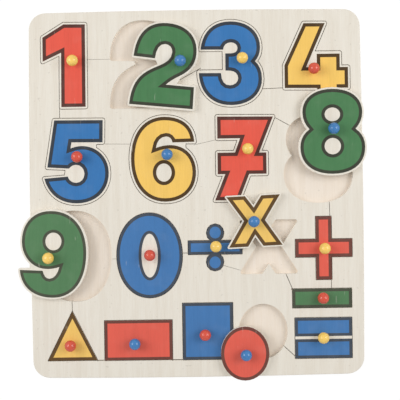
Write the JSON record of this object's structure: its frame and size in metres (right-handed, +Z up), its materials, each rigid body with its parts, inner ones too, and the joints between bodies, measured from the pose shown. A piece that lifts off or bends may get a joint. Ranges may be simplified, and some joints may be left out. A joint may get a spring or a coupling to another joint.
{
  "type": "wooden math puzzle",
  "caption": "Flat wooden peg puzzle tray with lift-out painted number, arithmetic sign and shape pieces in sawn recesses, each with a small round grip knob.",
  "frame": {"origin": "centre of the tray's flat underside", "axes": "+X to the right and +Y to the top of the picture as the numbers are read, +Z up out of the painted face"},
  "size_m": [0.3205, 0.3407, 0.0252],
  "materials": {
    "backing_ply": "plain sanded ply",
    "sheet_ply": "pale sanded ply under thin varnish",
    "red_painted_ply": "pale ply with a red printed face and a dark printed line",
    "green_painted_ply": "pale ply with a green printed face and a dark printed line",
    "blue_painted_ply": "pale ply with a blue printed face and a dark printed line",
    "yellow_painted_ply": "pale ply with a yellow printed face and a dark printed line",
    "red_knob": "glossy moulded plastic",
    "blue_knob": "glossy moulded plastic",
    "yellow_knob": "glossy moulded plastic"
  },
  "bodies": {
    "tray": {"backing_board": "backing_ply", "top_sheet": "sheet_ply"},
    "number_1": {"number_1_plate": "red_painted_ply", "number_1_knob": "yellow_knob"},
    "number_2": {"number_2_plate": "green_painted_ply", "number_2_knob": "blue_knob"},
    "number_3": {"number_3_plate": "blue_painted_ply", "number_3_knob": "yellow_knob"},
    "number_4": {"number_4_plate": "yellow_painted_ply", "number_4_knob": "red_knob"},
    "number_5": {"number_5_plate": "blue_painted_ply", "number_5_knob": "red_knob"},
    "number_6": {"number_6_plate": "yellow_painted_ply", "number_6_knob": "blue_knob"},
    "number_7": {"number_7_plate": "red_painted_ply", "number_7_knob": "yellow_knob"},
    "number_8": {"number_8_plate": "green_painted_ply", "number_8_knob": "blue_knob"},
    "number_9": {"number_9_plate": "green_painted_ply", "number_9_knob": "yellow_knob"},
    "number_0": {"number_0_plate": "blue_painted_ply", "number_0_knob": "red_knob"},
    "sign_divide": {"sign_divide_plate": "blue_painted_ply", "sign_divide_knob": "yellow_knob"},
    "sign_times": {"sign_times_plate": "yellow_painted_ply", "sign_times_knob": "blue_knob"},
    "sign_plus": {"sign_plus_plate": "red_painted_ply", "sign_plus_knob": "yellow_knob"},
    "sign_minus": {"sign_minus_plate": "green_painted_ply", "sign_minus_knob": "red_knob"},
    "sign_equals": {"sign_equals_plate": "blue_painted_ply", "sign_equals_knob": "yellow_knob"},
    "shape_triangle": {"shape_triangle_plate": "yellow_painted_ply", "shape_triangle_knob": "red_knob"},
    "shape_rectangle": {"shape_rectangle_plate": "red_painted_ply", "shape_rectangle_knob": "blue_knob"},
    "shape_square": {"shape_square_plate": "blue_painted_ply", "shape_square_knob": "red_knob"},
    "shape_circle": {"shape_circle_plate": "red_painted_ply", "shape_circle_knob": "blue_knob"}
  },
  "joints": [
    {"name": "number_1_lift", "type": "slide", "parent": "tray", "child": "number_1", "axis": [0, 0, 1], "range_m": [0, 0.03]},
    {"name": "number_2_lift", "type": "slide", "parent": "tray", "child": "number_2", "axis": [0, 0, 1], "range_m": [0, 0.03]},
    {"name": "number_3_lift", "type": "slide", "parent": "tray", "child": "number_3", "axis": [0, 0, 1], "range_m": [0, 0.03]},
    {"name": "number_4_lift", "type": "slide", "parent": "tray", "child": "number_4", "axis": [0, 0, 1], "range_m": [0, 0.03]},
    {"name": "number_5_lift", "type": "slide", "parent": "tray", "child": "number_5", "axis": [0, 0, 1], "range_m": [0, 0.03]},
    {"name": "number_6_lift", "type": "slide", "parent": "tray", "child": "number_6", "axis": [0, 0, 1], "range_m": [0, 0.03]},
    {"name": "number_7_lift", "type": "slide", "parent": "tray", "child": "number_7", "axis": [0, 0, 1], "range_m": [0, 0.03]},
    {"name": "number_8_lift", "type": "slide", "parent": "number_4", "child": "number_8", "axis": [0, 0, 1], "range_m": [0, 0.03]},
    {"name": "number_9_lift", "type": "slide", "parent": "tray", "child": "number_9", "axis": [0, 0, 1], "range_m": [0, 0.03]},
    {"name": "number_0_lift", "type": "slide", "parent": "tray", "child": "number_0", "axis": [0, 0, 1], "range_m": [0, 0.03]},
    {"name": "sign_divide_lift", "type": "slide", "parent": "number_7", "child": "sign_divide", "axis": [0, 0, 1], "range_m": [0, 0.03]},
    {"name": "sign_times_lift", "type": "slide", "parent": "sign_divide", "child": "sign_times", "axis": [0, 0, 1], "range_m": [0, 0.03]},
    {"name": "sign_plus_lift", "type": "slide", "parent": "tray", "child": "sign_plus", "axis": [0, 0, 1], "range_m": [0, 0.03]},
    {"name": "sign_minus_lift", "type": "slide", "parent": "tray", "child": "sign_minus", "axis": [0, 0, 1], "range_m": [0, 0.03]},
    {"name": "sign_equals_lift", "type": "slide", "parent": "tray", "child": "sign_equals", "axis": [0, 0, 1], "range_m": [0, 0.03]},
    {"name": "shape_triangle_lift", "type": "slide", "parent": "tray", "child": "shape_triangle", "axis": [0, 0, 1], "range_m": [0, 0.03]},
    {"name": "shape_rectangle_lift", "type": "slide", "parent": "tray", "child": "shape_rectangle", "axis": [0, 0, 1], "range_m": [0, 0.03]},
    {"name": "shape_square_lift", "type": "slide", "parent": "tray", "child": "shape_square", "axis": [0, 0, 1], "range_m": [0, 0.03]},
    {"name": "shape_circle_lift", "type": "slide", "parent": "shape_square", "child": "shape_circle", "axis": [0, 0, 1], "range_m": [0, 0.03]}
  ]
}
